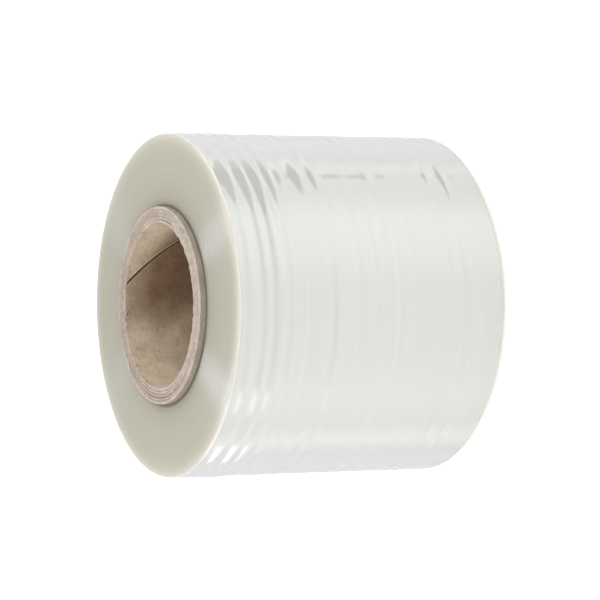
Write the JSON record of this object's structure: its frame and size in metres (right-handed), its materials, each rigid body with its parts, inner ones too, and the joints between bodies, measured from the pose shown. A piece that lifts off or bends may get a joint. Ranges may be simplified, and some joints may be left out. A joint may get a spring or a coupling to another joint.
{
  "type": "roll of lidding film",
  "caption": "Roll of clear lidding film wound on a spiral paper core, standing on one end, for tray sealing machines.",
  "frame": {"origin": "on the roll's axis, at the level of the core's lower cut end, which the roll stands on", "axes": "+Z along the roll's axis, upwards; the film's free edge lies on the +Y side"},
  "size_m": [0.1599, 0.16, 0.141],
  "materials": {
    "film": "glossy clear film, wound tight, which reads as a pale grey body with milky ends",
    "core_board": "matte uncoated recycled board, spiral wound"
  },
  "bodies": {
    "root": {"film_roll": "film", "core": "core_board"}
  },
  "joints": []
}
